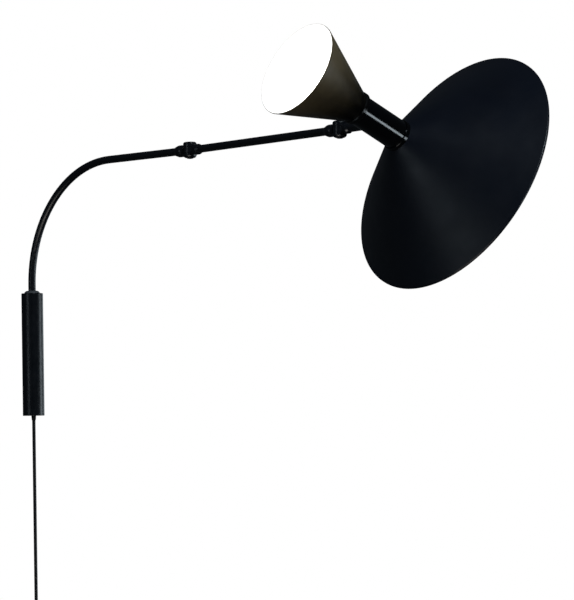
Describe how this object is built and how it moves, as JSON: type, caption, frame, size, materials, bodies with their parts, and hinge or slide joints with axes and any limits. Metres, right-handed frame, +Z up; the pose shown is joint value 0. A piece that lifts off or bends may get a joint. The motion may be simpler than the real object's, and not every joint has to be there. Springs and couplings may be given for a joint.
{
  "type": "swing arm wall sconce",
  "caption": "Wall light with a pivoting bent arm, a second jointed arm and a tilting two-ended head: a small deep cone and a wide shallow cone on one tube.",
  "frame": {"origin": "centre of the wall plate's back face, midway between its two screw holes", "axes": "+Z up, +Y into the wall, so the light stands out towards -Y; +X to the right seen from the room. Rest pose: both arms out to the right and forwards, nearly in line."},
  "size_m": [0.6766, 0.6766, 0.8367],
  "materials": {
    "zinc_steel": "bright zinc plate",
    "tube_black": "satin black powder coat, three soft streaks of sheen",
    "bush_grey": "light grey moulded bearing plastic",
    "plastic_black": "fine matt black moulding",
    "rubber_black": "matt black rubber",
    "cord_black": "round black mains lead, semi-matt sheath",
    "tie_black": "black strap",
    "plug_black": "black moulded plug, fine texture",
    "contact_nickel": "nickel plate",
    "arm_black": "matt blue-black powder coat",
    "knuckle_black": "satin blue-black cast metal",
    "screw_black": "blackened steel",
    "washer_nylon": "black nylon",
    "neck_gloss_black": "deep gloss black enamel",
    "ring_black": "satin black, fine turned grooves",
    "reflector_bronze": "dark olive bronze outside, white enamel inside",
    "reflector_blue_black": "matt blue-black outside, white enamel inside",
    "holder_plastic": "white phenolic",
    "bulb_opal": "opal white glass"
  },
  "bodies": {
    "wall_mount": {"wall_plate": "zinc_steel", "hook_studs": "zinc_steel", "wall_tube": "tube_black", "top_bush": "bush_grey", "lower_bush": "bush_grey", "end_cap": "plastic_black", "strain_relief": "rubber_black", "cord_lead": "cord_black", "cord_coil": "cord_black", "cord_tie": "tie_black", "cord_tail": "cord_black", "plug_body": "plug_black", "plug_pins": "contact_nickel"},
    "lower_arm": {"bent_arm": "arm_black", "thrust_collar": "zinc_steel", "retaining_ring": "zinc_steel", "elbow_fork": "knuckle_black", "elbow_screw": "screw_black", "elbow_cap_nut": "screw_black", "elbow_washers": "washer_nylon"},
    "upper_arm": {"elbow_tongue": "knuckle_black", "straight_arm": "arm_black", "head_fork": "knuckle_black", "head_screw": "screw_black", "head_cap_nut": "screw_black", "head_washers": "washer_nylon"},
    "yoke": {"head_yoke": "knuckle_black", "tilt_washer": "washer_nylon", "tilt_nut": "zinc_steel"},
    "head": {"neck_tube": "neck_gloss_black", "tilt_boss": "knuckle_black", "inner_saddle": "zinc_steel", "front_ring": "ring_black", "rear_collar": "neck_gloss_black", "small_reflector": "reflector_bronze", "large_reflector": "reflector_blue_black", "rear_shade_ring": "holder_plastic", "front_shade_ring": "holder_plastic", "lampholder_plates": "zinc_steel", "nipples": "zinc_steel", "nipple_nuts": "zinc_steel", "rear_lampholder": "holder_plastic", "front_lampholder": "holder_plastic", "rear_bulb_cap": "contact_nickel", "front_bulb_cap": "contact_nickel", "rear_bulb_glass": "bulb_opal", "front_bulb_glass": "bulb_opal"}
  },
  "joints": [
    {"name": "wall_swivel", "type": "hinge", "parent": "wall_mount", "child": "lower_arm", "pos_m": [0, -0.024, 0.082], "axis": [0, 0, 1], "range_deg": [-125, 44]},
    {"name": "elbow_swing", "type": "hinge", "parent": "lower_arm", "child": "upper_arm", "pos_m": [0.2032, -0.25652, 0.25], "axis": [0, 0, 1], "range_deg": [-85, 95]},
    {"name": "head_swing", "type": "hinge", "parent": "upper_arm", "child": "yoke", "pos_m": [0.372, -0.49405, 0.25], "axis": [0, 0, 1], "range_deg": [-46, 53]},
    {"name": "head_tilt", "type": "hinge", "parent": "yoke", "child": "head", "pos_m": [0.4134, -0.55731, 0.25], "axis": [0.5476, -0.8368, 0], "range_deg": [-63, 116]}
  ]
}
